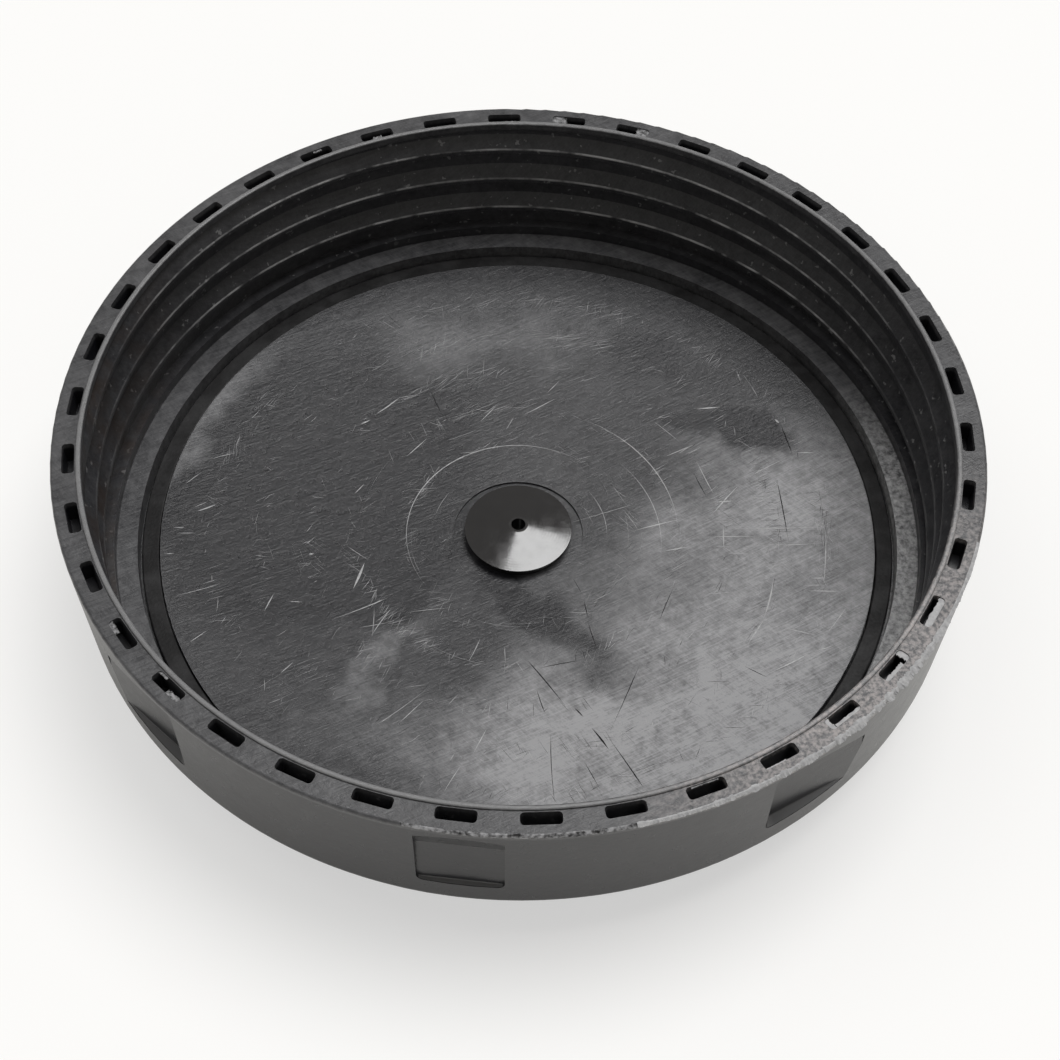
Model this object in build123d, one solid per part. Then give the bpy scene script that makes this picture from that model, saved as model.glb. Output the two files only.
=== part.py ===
from build123d import *
import math
import os

# Filler tank cap, lying open side up. Millimetres, +Z up.
# The origin is on the cap's axis, in the plane that it stands on. +X is 0 degrees of azimuth.
# Depths are measured down from the slotted end face of the rim.

# Outside of the skirt
RIM_RADIUS = 75.0
RIM_OUTER_ROUND = 0.5
SKIRT_DRAFT = 2.6
SKIRT_DEPTH = 22.2
SKIRT_EDGE_ROUND = 2.0
SHOULDER_SLOPE = 58.0
FOOT_ROUND = 0.8

# Raised lip round the mouth, inside the slotted face, a little proud of the wall below it
LIP_OVERHANG = 0.7
LIP_WIDTH = 0.85
LIP_RISE = 0.4
LIP_DEPTH = 1.0
LIP_ROUND = 0.3

# Inside of the cap, from the mouth down; the wall is measured at the rim, from outside to thread root
WALL_THICKNESS = 4.2
THREAD_HEIGHT = 1.5
STEP_WIDTH = 2.1
LEDGE_DEPTH = 24.2
STRIP_WIDTH = 3.6
STRIP_DEPTH = 26.1
DISC_DEPTH = 27.6
GROOVE_WIDTH = 3.6
GROOVE_DEPTH = 2.0
FLOOR_THICKNESS = 2.4

# The plate is dished: its middle lies lower than its edge, on both faces
DISH_DEPTH = 3.5

# Hollow in the outer face, inside the border that the cap stands on and clear of the groove
CROWN_MARGIN = 3.5
CROWN_LEAN = 1.2
CROWN_DEPTH = 1.0

# Right-hand thread: a buttress ridge with a flat crest, its steep side down
THREAD_LEAD = 7.2
RIDGE_DEPTH_AT_ZERO = 15.0
RIDGE_HEIGHT = 3.4
CREST_FLAT = 0.8
CREST_BEVEL = 0.3
CREST_TRIM = 0.2
RIDGE_ROOTING = 0.5
RIDGE_TOP_DEPTH = 0.5
RIDGE_START_ANGLE = -470.0
RIDGE_END_ANGLE = 570.0
RUN_OUT_SPAN = 30.0

# Shallow slot pockets in the end face of the rim
POCKET_COUNT = 38
POCKET_FIRST_ANGLE = 7.9
POCKET_GAP = 0.15
POCKET_WIDTH = 2.0
POCKET_LENGTH = 6.0
POCKET_DEPTH = 3.8
POCKET_DRAFT = 5.0
POCKET_CORNER = 0.6

# Grip recesses: one in the middle of each side, and one on each diagonal with a slanting floor
GRIP_SIDES = 4
GRIP_FIRST_ANGLE = 264.2
GRIP_DIAGONAL_ANGLE = 42.4
GRIP_WIDTH = 13.0
GRIP_TOP_DEPTH = 3.0
GRIP_HEIGHT = 14.6
GRIP_RECESS = 1.1
GRIP_DIAGONAL_RECESS = 1.5
GRIP_DIAGONAL_TURN = 6.0
GRIP_FADE = 3.5
GRIP_CORNER = 1.2

# Sealing ring, loose in its groove
RING_THICKNESS = 1.6
RING_INNER_CLEARANCE = 0.15
RING_OUTER_CLEARANCE = 0.45
RING_ROUND = 0.3

# Vent valve in the middle of the plate
VALVE_RADIUS = 9.3
VALVE_BASE_RADIUS = 8.75
VALVE_SIDE = 1.9
VALVE_RISE = 1.0
VALVE_EYE_RADIUS = 1.7
VALVE_BORE_RADIUS = 1.25
VALVE_BORE_DEPTH = 3.0
VALVE_HOLLOW_RADIUS = 7.6
VALVE_HOLLOW_DEPTH = 0.8
VALVE_SEAT_RADIUS = 11.3
VALVE_SEAT_DEPTH = 0.25
STEM_RADIUS = 2.4
STEM_CLEARANCE = 0.1
BULB_OVERHANG = 0.8
BULB_THICKNESS = 0.65
BULB_CLEARANCE = 0.1
AIR_HOLE_COUNT = 4
AIR_HOLE_RADIUS = 1.0
AIR_HOLE_CIRCLE = 5.2

# Worked out from the values above
RIM_Z = DISC_DEPTH + DISH_DEPTH + FLOOR_THICKNESS + CROWN_DEPTH
ROOT_RADIUS = RIM_RADIUS - WALL_THICKNESS
CREST_RADIUS = ROOT_RADIUS - THREAD_HEIGHT
LIP_RADIUS = ROOT_RADIUS - LIP_OVERHANG
LIP_OUTER_RADIUS = LIP_RADIUS + LIP_WIDTH
STEP_RADIUS = ROOT_RADIUS - STEP_WIDTH
GROOVE_OUTER_RADIUS = STEP_RADIUS - STRIP_WIDTH
GROOVE_INNER_RADIUS = GROOVE_OUTER_RADIUS - GROOVE_WIDTH
CROWN_RADIUS = GROOVE_INNER_RADIUS - CROWN_MARGIN
LEDGE_Z = RIM_Z - LEDGE_DEPTH
STRIP_Z = RIM_Z - STRIP_DEPTH
DISC_Z = RIM_Z - DISC_DEPTH
GROOVE_Z = DISC_Z - GROOVE_DEPTH
MIDDLE_Z = DISC_Z - DISH_DEPTH
VALVE_SEAT_Z = MIDDLE_Z - VALVE_SEAT_DEPTH
DISH_RADIUS = (GROOVE_INNER_RADIUS ** 2 + DISH_DEPTH ** 2) / (2 * DISH_DEPTH)
UPWARD = (Align.CENTER, Align.CENTER, Align.MIN)
# Overrun of a cutting tool past the surface that it opens
PAST = 1.0


def skirt_radius(depth):
    """Outer radius of the drafted skirt at a depth below the rim face."""
    return RIM_RADIUS - depth * math.tan(math.radians(SKIRT_DRAFT))


def outline(points):
    """The face inside straight lines through (radius, height) points, in the XZ plane."""
    return make_face(Polyline(*[(r, 0, z) for r, z in points], close=True))


def turned(points):
    """The solid of revolution about Z of an outline."""
    return revolve(outline(points), axis=Axis.Z)


def dish_rise(radius):
    """How much higher the dished plate lies at a radius than in its middle."""
    return DISH_RADIUS - math.sqrt(DISH_RADIUS ** 2 - radius ** 2)


def dish_arc(radius, middle_z):
    """The section of a dished face, from the axis out to a radius."""
    radii = (0, radius / 2, radius)
    return ThreePointArc(*[(r, 0, middle_z + dish_rise(r)) for r in radii])


def ring_edge(shape, radius, z):
    """The circular edge of a turned shape that lies nearest to a radius and height."""
    circles = shape.edges().filter_by(GeomType.CIRCLE)
    return min(circles, key=lambda e: abs(e.radius - radius) + abs(e.arc_center.Z - z))


def shell_blank():
    """Plate and skirt before the thread, pockets and recesses."""
    edge_radius = skirt_radius(SKIRT_DEPTH)
    edge_z = RIM_Z - SKIRT_DEPTH
    foot_radius = edge_radius - edge_z / math.tan(math.radians(SHOULDER_SLOPE))
    lip_z = RIM_Z + LIP_RISE
    outside = [
        (CROWN_RADIUS, CROWN_DEPTH + dish_rise(CROWN_RADIUS)),
        (CROWN_RADIUS + CROWN_LEAN, 0),
        (foot_radius, 0),
        (edge_radius, edge_z),
        (RIM_RADIUS, RIM_Z),
    ]
    mouth = [
        (LIP_OUTER_RADIUS, RIM_Z),
        (LIP_OUTER_RADIUS, lip_z),
        (LIP_RADIUS, lip_z),
        (LIP_RADIUS, RIM_Z - LIP_DEPTH),
        (ROOT_RADIUS, RIM_Z - LIP_DEPTH - LIP_OVERHANG),
    ]
    inside = [
        (ROOT_RADIUS, LEDGE_Z),
        (STEP_RADIUS, LEDGE_Z),
        (STEP_RADIUS, STRIP_Z),
        (GROOVE_OUTER_RADIUS, STRIP_Z),
        (GROOVE_OUTER_RADIUS, GROOVE_Z),
        (GROOVE_INNER_RADIUS, GROOVE_Z),
        (GROOVE_INNER_RADIUS, DISC_Z),
    ]
    side = Polyline(*[(r, 0, z) for r, z in outside + mouth + inside])
    outer_face = dish_arc(CROWN_RADIUS, CROWN_DEPTH)
    inner_face = dish_arc(GROOVE_INNER_RADIUS, MIDDLE_Z)
    axis = Line((0, 0, CROWN_DEPTH), (0, 0, MIDDLE_Z))
    blank = revolve(make_face(outer_face + side + inner_face + axis), axis=Axis.Z)
    blank = fillet(ring_edge(blank, edge_radius, edge_z), SKIRT_EDGE_ROUND)
    blank = fillet(ring_edge(blank, RIM_RADIUS, RIM_Z), RIM_OUTER_ROUND)
    blank = fillet(ring_edge(blank, foot_radius, 0), FOOT_ROUND)
    lip_edges = [ring_edge(blank, LIP_RADIUS, lip_z), ring_edge(blank, LIP_OUTER_RADIUS, lip_z)]
    return fillet(lip_edges, LIP_ROUND)


def ridge_z(angle):
    """Height of the crest's lower edge at an azimuth, which counts on over whole turns."""
    return RIM_Z - RIDGE_DEPTH_AT_ZERO + THREAD_LEAD * angle / 360


def run_out(angle):
    """An eccentric round block that lets the ridge sink into the wall towards one of its ends."""
    reach = ROOT_RADIUS + RIDGE_ROOTING + CREST_TRIM
    span = math.cos(math.radians(RUN_OUT_SPAN))
    offset = (reach ** 2 - CREST_RADIUS ** 2) / (2 * (reach - CREST_RADIUS * span))
    low = ridge_z(angle) - (THREAD_LEAD - RIDGE_HEIGHT) / 2
    block = Cylinder(reach - offset, THREAD_LEAD, align=UPWARD)
    return Rot(0, 0, angle) * Pos(offset, 0, low) * block


def thread_ridge():
    """The helical ridge, with a truly round crest and both ends run out into the wall."""
    rise = ridge_z(RIDGE_END_ANGLE) - ridge_z(RIDGE_START_ANGLE)
    path = Helix(pitch=THREAD_LEAD, height=rise, radius=ROOT_RADIUS)
    inner = CREST_RADIUS - CREST_TRIM
    outer = ROOT_RADIUS + RIDGE_ROOTING
    slope = (RIDGE_HEIGHT - CREST_FLAT) / THREAD_HEIGHT
    section = outline([
        (outer, -CREST_BEVEL),
        (CREST_RADIUS + CREST_BEVEL, -CREST_BEVEL),
        (inner, CREST_TRIM),
        (inner, CREST_FLAT - slope * CREST_TRIM),
        (outer, CREST_FLAT + slope * (outer - CREST_RADIUS)),
    ])
    ridge = sweep(section, path=path, is_frenet=True)
    ridge = Pos(0, 0, ridge_z(RIDGE_START_ANGLE)) * Rot(0, 0, RIDGE_START_ANGLE) * ridge
    bore = Cylinder(CREST_RADIUS, RIM_Z + PAST, align=UPWARD)
    above = Pos(0, 0, RIM_Z - RIDGE_TOP_DEPTH) * Cylinder(RIM_RADIUS, THREAD_LEAD, align=UPWARD)
    return ridge - bore - above - run_out(RIDGE_START_ANGLE) - run_out(RIDGE_END_ANGLE)


def pockets():
    """The slot pockets, drafted and with round corners, spaced evenly round the rim."""
    mouth = RectangleRounded(POCKET_WIDTH, POCKET_LENGTH, POCKET_CORNER)
    slot = extrude(Pos(0, 0, RIM_Z) * mouth, -POCKET_DEPTH, taper=POCKET_DRAFT)
    middle = LIP_OUTER_RADIUS + POCKET_GAP + POCKET_WIDTH / 2
    places = PolarLocations(middle, POCKET_COUNT, start_angle=POCKET_FIRST_ANGLE)
    return [place * slot for place in places]


def grip(pull_angle, offset_angle, recess, turn):
    """A cutter for one grip recess.

    Its sides run along the pull direction of the mould slide. Its floor is flat, faces the azimuth
    that lies `turn` degrees from the recess towards the pull, and fades out at the top.
    """
    top = RIM_Z - GRIP_TOP_DEPTH
    bottom = top - GRIP_HEIGHT
    radius = skirt_radius(GRIP_TOP_DEPTH + GRIP_HEIGHT / 2)
    side = radius * math.sin(math.radians(offset_angle))
    window = RectangleRounded(GRIP_WIDTH, GRIP_HEIGHT + 2 * PAST, GRIP_CORNER)
    start = Plane(origin=(0, side, bottom + GRIP_HEIGHT / 2 + PAST), x_dir=(0, 1, 0), z_dir=(1, 0, 0))
    prism = extrude(start * window, RIM_RADIUS + PAST)
    floor = radius * math.cos(math.radians(turn)) - recess
    keep = extrude(outline([
        (0, bottom - PAST),
        (floor, bottom - PAST),
        (floor, top - GRIP_FADE),
        (floor + 2 * recess, top + GRIP_FADE),
        (0, top + GRIP_FADE),
    ]), RIM_RADIUS, both=True)
    cutter = prism - Rot(0, 0, offset_angle - turn) * keep
    return Rot(0, 0, pull_angle) * cutter


def grips():
    """Cutters for all the grip recesses."""
    cutters = []
    for side in range(GRIP_SIDES):
        pull = GRIP_FIRST_ANGLE + side * 360 / GRIP_SIDES
        cutters.append(grip(pull, 0, GRIP_RECESS, 0))
        if side % 2 == 0:
            for hand in (-1, 1):
                diagonal = hand * GRIP_DIAGONAL_ANGLE
                cutters.append(grip(pull, diagonal, GRIP_DIAGONAL_RECESS, hand * GRIP_DIAGONAL_TURN))
    return cutters


def valve_seat():
    """Cutters for the shallow seat, stem hole and air holes of the vent valve."""
    seat = Pos(0, 0, VALVE_SEAT_Z) * Cylinder(VALVE_SEAT_RADIUS, DISC_Z, align=UPWARD)
    stem_hole = Cylinder(STEM_RADIUS + STEM_CLEARANCE, DISC_Z, align=UPWARD)
    air_hole = Cylinder(AIR_HOLE_RADIUS, DISC_Z, align=UPWARD)
    places = PolarLocations(AIR_HOLE_CIRCLE, AIR_HOLE_COUNT)
    return [seat, stem_hole] + [place * air_hole for place in places]


def cap_body():
    """The one black moulding."""
    body = shell_blank() + thread_ridge()
    return body - pockets() - grips() - valve_seat()


def seal_ring():
    """Flat rubber ring with softened edges, lying on the groove's floor."""
    inner = GROOVE_INNER_RADIUS + RING_INNER_CLEARANCE
    outer = GROOVE_OUTER_RADIUS - RING_OUTER_CLEARANCE
    top = GROOVE_Z + RING_THICKNESS
    ring = turned([(inner, GROOVE_Z), (outer, GROOVE_Z), (outer, top), (inner, top)])
    return fillet(ring.edges().filter_by(GeomType.CIRCLE), RING_ROUND)


def vent_valve():
    """Rubber mushroom valve: low cone head with an eye, hollow beneath, stem and holding bulb."""
    side_top = VALVE_SEAT_Z + VALVE_SIDE
    head_top = side_top + VALVE_RISE
    hollow = VALVE_SEAT_Z + VALVE_HOLLOW_DEPTH
    bulb_top = CROWN_DEPTH - BULB_CLEARANCE
    bulb_low = bulb_top - BULB_THICKNESS
    valve = turned([
        (0, bulb_low),
        (STEM_RADIUS, bulb_low),
        (STEM_RADIUS + BULB_OVERHANG, bulb_top),
        (STEM_RADIUS, bulb_top),
        (STEM_RADIUS, hollow),
        (VALVE_HOLLOW_RADIUS - VALVE_HOLLOW_DEPTH, hollow),
        (VALVE_HOLLOW_RADIUS, VALVE_SEAT_Z),
        (VALVE_BASE_RADIUS, VALVE_SEAT_Z),
        (VALVE_RADIUS, side_top),
        (VALVE_EYE_RADIUS, head_top),
        (0, head_top),
    ])
    bore = Pos(0, 0, head_top - VALVE_BORE_DEPTH) * Cylinder(
        VALVE_BORE_RADIUS, VALVE_BORE_DEPTH + PAST, align=UPWARD)
    return valve - bore


os.makedirs("parts", exist_ok=True)
export_step(cap_body(), "parts/cap_body.step")
export_step(seal_ring(), "parts/seal_ring.step")
export_step(vent_valve(), "parts/vent_valve.step")
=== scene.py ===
import math
import random

import bmesh
import bpy
from mathutils import Matrix, Vector


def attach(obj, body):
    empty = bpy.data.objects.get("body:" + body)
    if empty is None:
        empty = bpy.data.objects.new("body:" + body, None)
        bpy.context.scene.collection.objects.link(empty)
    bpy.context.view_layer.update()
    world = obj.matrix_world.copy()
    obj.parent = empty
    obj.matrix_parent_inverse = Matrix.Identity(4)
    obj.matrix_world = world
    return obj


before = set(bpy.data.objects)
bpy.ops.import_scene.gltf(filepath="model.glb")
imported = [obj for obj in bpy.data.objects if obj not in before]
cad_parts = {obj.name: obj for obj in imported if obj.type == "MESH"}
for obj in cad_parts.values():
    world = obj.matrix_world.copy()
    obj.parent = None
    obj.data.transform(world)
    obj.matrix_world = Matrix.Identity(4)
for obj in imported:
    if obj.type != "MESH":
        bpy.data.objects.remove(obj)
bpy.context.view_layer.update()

bl_info = {
    "name": "Filler tank cap",
    "version": (1, 0, 0),
    "blender": (4, 5, 0),
    "location": "3D View > Sidebar > Tank cap",
    "description": "Worn black screw cap of a tank, open side up, with its seal and vent valve",
    "category": "Object",
}

# Lengths in this file are millimetres unless a name says otherwise; Blender's are metres.
MM = 0.001
# Rim, disc, strip that the neck seats on, and the thread's crest, as the CAD has them
RIM_Z = 34.5
RIM_RADIUS = 75.0
DISC_RADIUS = 61.5
SEAT_RADIUS = 68.7
CREST_RADIUS = 69.3
CREST_FLAT = 0.8
THREAD_LEAD = 7.2
# Turns by which the crest's lower edge at the far side is above the height of a whole lead
RIDGE_PHASE = (RIM_Z - 15.0) / THREAD_LEAD + 0.25
# Lean of the skirt's outside in degrees, and the outside of the lip round the mouth
SKIRT_DRAFT = 2.6
LIP_OUTER_RADIUS = 70.95
# Radius up to which a place counts as inner wall, and from which it counts as skirt
WALL_END = 71.3
SKIRT_START = 71.5
# The dished plate: height of its middle, and the radius of its curve
MIDDLE_Z = 3.4
DISH_RADIUS = 542.07
# Middle of the pockets in the rim, and the azimuth of the first of the 38
POCKET_RADIUS = 72.1
POCKET_FIRST_AZIMUTH = 7.9
POCKET_STEP = 360 / 38
# Half of a pocket's width and length, a little more so that flash is rooted in its sides
POCKET_HALF_WIDTH = 1.08
POCKET_HALF_LENGTH = 3.05
# Ledge at the bottom of each grip recess: its height and its outer radius
GRIP_FLOOR_Z = RIM_Z - 17.6
LEDGE_RADIUS = 74.1
# A length past every part of the cap, and a scale that flattens a direction
BEYOND = 90.0
FAR = 1000.0
# Places that differ from the rest: azimuth in degrees, counted from the right towards the far
# side, and span each side of it; a lit crest also has its strength
PALE_STRIP = (-18, 38)
CHIPPED_RIM = (318, 26)
STAINED_WALL = (182, 20)
LIT_CRESTS = ((60, 28, 1.0), (125, 28, 0.9))
# Fine combing that runs two ways: direction in degrees, and length, width and depth of its marks.
# Real scuffs are under 0.1 mm wide; they are drawn coarser so that they show
COMBED = (28, (6, 0.3, 1))
CROSSED = (-47, (5, 0.24, 1))
# Size of the swirls that bend the clouds, and how far they bend them
SWIRL_SIZE = 16
SWIRL_REACH = (26, 26, 0)
# Wear of the disc where no cloud lies, the least that a dark cloud leaves, and that of other parts
CLEAR_LEVEL, LEAST_LEVEL, PART_LEVEL = 0.15, 0.03, 0.55
# Roughness of the moulding where nothing has rubbed it
FRESH_ROUGHNESS = 0.27
# Spacing of the turning rings on the valve
RING_SPACING = 0.5
# How much of its own white the table shows to the camera, and to shiny faces
WHITE_TO_CAMERA, WHITE_TO_GLOSS = 0.55, 0.15

# Node types that the finishes are made of
MATH = "ShaderNodeMath"
VECTOR = "ShaderNodeVectorMath"
REMAP = "ShaderNodeMapRange"
MIX = "ShaderNodeMix"
NOISE = "ShaderNodeTexNoise"
MAPPING = "ShaderNodeMapping"
BUMP = "ShaderNodeBump"
SPLIT = "ShaderNodeSeparateXYZ"
SKIN = "ShaderNodeBsdfPrincipled"

# Scratches on the disc: from x, y to x, y, half width, and how pale (above 0) or dark (below 0)
MARKS = (
    (9.7, 2.7, 21.2, 6.9, 0.09, 0.7), (-20.6, 15.8, -16.6, 20.7, 0.17, 0.8),
    (-25.2, 26.3, -22.1, 29.6, 0.12, 0.7), (-17, 32.1, -13.8, 24.8, 0.16, -0.7),
    (-14.2, 19.6, -6.9, 23.2, 0.09, 0.5), (-7.7, 24.1, -4.3, 28.6, 0.12, 0.7),
    (-2.8, 22.5, -1.1, 26.3, 0.12, 0.7), (0.3, 26.2, 7.3, 30.9, 0.12, 0.8),
    (4.5, 31.1, 7.3, 34.6, 0.12, 0.6), (-19.4, -17.7, -11.4, -16.2, 0.1, 0.6),
    (11.9, -18, 13.6, -24.4, 0.16, -1), (9.3, -8.9, 11.3, -13.2, 0.1, -0.6),
    (11.3, -13.2, 12.3, -18.7, 0.09, -0.6), (3.9, -28.2, 11.1, -26.5, 0.12, -0.8),
    (1.8, -26.5, 8.1, -35.5, 0.2, -1), (3.3, -31.6, 5.1, -37.7, 0.12, -0.8),
    (9.5, -35.9, 11.3, -38.1, 0.2, -1), (12, -39.4, 15.4, -44.6, 0.22, -1),
    (15.2, -42, 21, -52.4, 0.18, -1), (21, -26, 15.2, -41.1, 0.1, -0.7),
    (26.8, -11.3, 23.8, -19.3, 0.12, -0.8), (5.9, -39.1, 6.6, -55.2, 0.1, -0.7),
    (10.9, -45.9, 13.5, -51.4, 0.13, -0.8), (-7.8, -27.1, -5.8, -21.6, 0.14, 0.8),
    (-1.9, -23.4, -1.7, -27.3, 0.12, 0.6), (-14.5, -34.8, -18.9, -40.2, 0.13, 0.8),
    (-22.9, -40.8, -14.7, -33.1, 0.1, 0.5), (-6.6, -45.4, -4.2, -39.7, 0.14, 0.8),
    (-10.4, -47.2, -9.4, -45.1, 0.12, 0.7), (-10.9, -52.7, -7.9, -46.7, 0.12, 0.6),
    (31.8, 27.8, 36.7, 28.1, 0.2, 1), (25.5, 16.7, 31.3, 19.6, 0.16, 0.8),
    (28.2, 17.4, 31, 19.6, 0.1, 0.7), (24, 25.4, 29.1, 20.1, 0.09, 0.6),
    (47.2, 23.8, 49, 16.4, 0.16, -0.9), (46.2, 25, 47, 24, 0.25, 1),
    (49.4, 17.2, 53.1, 17, 0.16, 1), (40, 11.6, 48.4, 16.4, 0.13, 0.7),
    (33.5, 3.4, 40, 11.6, 0.16, 0.7), (45.5, 13.5, 46.9, -3.2, 0.15, -0.9),
    (31.7, 16.1, 34.7, 8, 0.13, 0.8), (30.9, 14, 33.5, 7.3, 0.13, -0.7),
    (34.4, 6.8, 38.1, 7, 0.18, 0.9), (40.7, 7.6, 44.4, 7.4, 0.14, 0.8),
    (20.1, 0.7, 28.2, 3.1, 0.2, 0.8), (35.4, 0.9, 54.6, 0.7, 0.12, 0.8),
    (32.6, -0.8, 42.3, -1, 0.13, 0.7), (35.8, 1.7, 35.7, -3.7, 0.14, 0.9),
    (35.8, -4.3, 40.7, -4.8, 0.14, 0.8), (53.4, 0.2, 52.1, -11.6, 0.13, 0.8),
    (42.2, -2.7, 53.3, -2.7, 0.12, 0.6), (49.8, -10.1, 52.4, -10.2, 0.16, 0.9),
    (48.4, -11.7, 52.2, -11.7, 0.12, 0.8), (48.9, -12.7, 55.6, -13.2, 0.14, 0.8),
    (43.8, -10.1, 41.4, -18.8, 0.18, 0.8), (41.4, -18.8, 38.6, -23.4, 0.2, 0.8),
    (51.3, -22.3, 56, -15.6, 0.16, 0.8), (44.2, -20.1, 49.9, -22, 0.14, 0.9),
    (24.6, -3.9, 29.9, -2.8, 0.16, 0.7), (41.9, -29.3, 49.1, -25.3, 0.18, 0.6),
    (49.1, -25.3, 53, -24.1, 0.14, 0.6), (37.4, -27.7, 41.8, -30.5, 0.13, -0.7),
    (-55.5, 12.6, -50.4, 14.8, 0.12, 0.7), (-58.9, 6.5, -55.6, 10.4, 0.14, 0.6),
    (-56.3, 1.1, -52.7, 3.2, 0.2, 1), (-56.7, 2, -54.2, 3.7, 0.12, 0.8),
    (-59.7, -2.5, -57.2, -2.3, 0.16, 0.9), (-59.3, -3.7, -55.1, -3.2, 0.14, 0.9),
    (-60.3, -8.3, -58.4, -8, 0.14, 0.7), (-58.1, -17.1, -49.8, -13.4, 0.12, 0.7),
    (-54.2, -26.4, -50.9, -23, 0.16, 0.8), (-36, -6.2, -35.1, -6, 0.22, 1),
    (-29.2, 7.2, -27.4, 9.8, 0.14, 0.8), (-28.9, 23, -27.2, 24.1, 0.16, 0.7),
    (-26.6, 25.2, -22.1, 29.6, 0.14, 0.8), (-42.5, -19.1, -41, -14.6, 0.14, 0.7),
    (-38.9, -16.3, -35.7, -16.3, 0.14, 0.6), (-38.8, -31.4, -36.5, -28.5, 0.14, 0.7),
    (-31.2, -19.7, -21.3, -14.2, 0.14, 0.7), (-28.1, -13.7, -26.3, -7.3, 0.3, 0.5),
    (-24.6, -23.5, -21.2, -16.7, 0.14, 0.7), (-24.1, -16.4, -24.1, -23.5, 0.12, 0.7),
    (-27.1, -21.2, -21.2, -19.6, 0.12, 0.6),
)

# Scratches turned round the middle: from azimuth, radius to azimuth, radius, half width, how pale
TURNED_MARKS = (
    (46, 19.5, 217, 19.5, 0.12, 0.8), (55, 23.5, -25, 25.5, 0.14, 0.9),
    (65, 28, 3, 28, 0.12, 0.7), (50, 15.5, -15, 15.5, 0.12, 0.6), (137, 15, 174, 15, 0.1, 0.4),
)

# Broad cloudy areas of the disc: x, y, half length, half width, angle in degrees, paler or darker.
# They are partly scuffing and partly painted sheen: the large pale one at the lower right paints
# the lamp's reflection there, the large dark one on the left its absence
SCUFF_AND_SHEEN_CLOUDS = (
    (-57, 22, 34, 7, 64, 0.5), (36, -40, 78, 46, 40, 1.05), (46, 8, 34, 22, 20, 0.75),
    (-4, -42, 36, 15, 4, 0.4), (-34, 9, 46, 36, 70, -0.4), (41, 20, 20, 5, -22, -0.6),
    (-26, -18, 16, 10, 0, -0.15), (-23, -28, 20, 4, 57, 0.35), (-8, 44, 32, 11, 8, 0.25),
    (22, 42, 20, 9, -15, -0.12), (8, -20, 26, 6, -40, -0.4), (44, -2, 16, 4, -12, -0.3),
)

# Bundles of fine scratches: x, y, direction, spread, length
BUNDLES = (
    (-10, 27, 28, 5, 7), (5, 45, 15, 6, 9), (-22, -22, 70, 4, 4), (-20, -24, 15, 4, 5),
    (40, 2, 2, 6, 7), (50, -2, 88, 5, 5), (-50, 25, 60, 5, 4), (8, -42, -60, 6, 6),
    (30, -20, 60, 9, 3), (-16, 36, 40, 6, 6), (24, 20, 30, 6, 5), (36, 12, 32, 6, 6),
)

# Directions in degrees that most of the fine scratches run in
SCRATCH_DIRECTIONS = (18, 22, 26, 31, 35, 3, 86, 58, -66, 74, -38)

# Thin flash left in some pockets: pocket number, side that it hangs from, reach, from, to (in mm
# about the pocket's middle; the last two run along that side), and whether dust lies on it
POCKET_FLASH = (
    (34, "outer", 1.15, -3.0, 3.0, True), (33, "outer", 0.7, -3.0, 1.2, True),
    (33, "end", 1.1, -1.0, 1.0, True), (32, "outer", 0.6, -2.0, 3.0, True),
    (32, "start", 0.9, -1.0, 1.0, True), (31, "outer", 0.35, -3.0, 0.5, True),
    (7, "start", 2.3, -1.0, 1.0, False), (8, "end", 2.6, -1.0, 1.0, False),
    (9, "inner", 0.5, -3.0, 0.0, False), (11, "inner", 0.9, -0.8, 0.9, False),
    (12, "outer", 0.5, -1.4, 0.2, False), (22, "outer", 0.9, -3.0, -0.6, False),
    (23, "outer", 0.9, 0.4, 3.0, False), (23, "inner", 0.5, -3.0, -1.2, False),
    (30, "inner", 0.3, -2.0, 2.2, False),
)


def linear(code):
    """A colour written as sRGB hex, as the linear RGBA that the shaders use."""
    parts = [int(code[i:i + 2], 16) / 255 for i in (1, 3, 5)]
    return (*[c / 12.92 if c <= 0.04045 else ((c + 0.055) / 1.055) ** 2.4 for c in parts], 1.0)


def add(tree, kind, feeds=None, out=0, **settings):
    """Adds a node, sets it up, fills its inputs with values or links, and returns an output."""
    node = tree.nodes.new(kind)
    for name, value in settings.items():
        setattr(node, name, value)
    for key, value in (feeds or {}).items():
        if isinstance(value, bpy.types.NodeSocket):
            tree.links.new(value, node.inputs[key])
        else:
            node.inputs[key].default_value = value
    return node.outputs[out] if len(node.outputs) else node


def colour_property(name, description, code):
    return bpy.props.FloatVectorProperty(
        name=name, description=description, default=linear(code), subtype="COLOR", size=4,
        min=0, max=1)


class CapColours(bpy.types.PropertyGroup):
    """Colours of the cap and of what it lies on."""
    fresh: colour_property("Fresh plastic", "The moulding where nothing has rubbed it", "#121217")
    worn: colour_property("Worn plastic", "The moulding where it is scuffed", "#98989A")
    # Also the colour of the painted highlights on the crest's edges, the lip's top and the recess
    # ledges
    rubbed_and_highlight: colour_property("Rubbed marks", "Scratches and the rim's chipped edges", "#B4B4B5")
    dust: colour_property("Dust", "Pinkish dust caught in the rim's chips", "#A89C98")
    dirt: colour_property("Dirt", "Brown film on the inner wall", "#2E241E")
    seal: colour_property("Sealing ring", "Rubber of the ring", "#111011")
    valve: colour_property("Vent valve", "Rubber of the valve", "#161517")
    floor: colour_property("Table", "Table top in the shade of the cap", "#FEFDFA")
    paper: colour_property("Backdrop", "Table top in full light", "#FEFEFE")


class CapSizes(bpy.types.PropertyGroup):
    """Sizes of the wear."""
    groove: bpy.props.FloatProperty(
        name="Scuff depth", description="Depth of the fine scuffing", default=0.00005, min=0,
        unit="LENGTH")
    grain: bpy.props.FloatProperty(
        name="Scuff grain", description="Size of the fine scuffing", default=0.0009, min=0.0001,
        unit="LENGTH")
    burr: bpy.props.FloatProperty(
        name="Burr height", description="Highest burr on the rim's edge", default=0.0006, min=0,
        unit="LENGTH")


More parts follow.
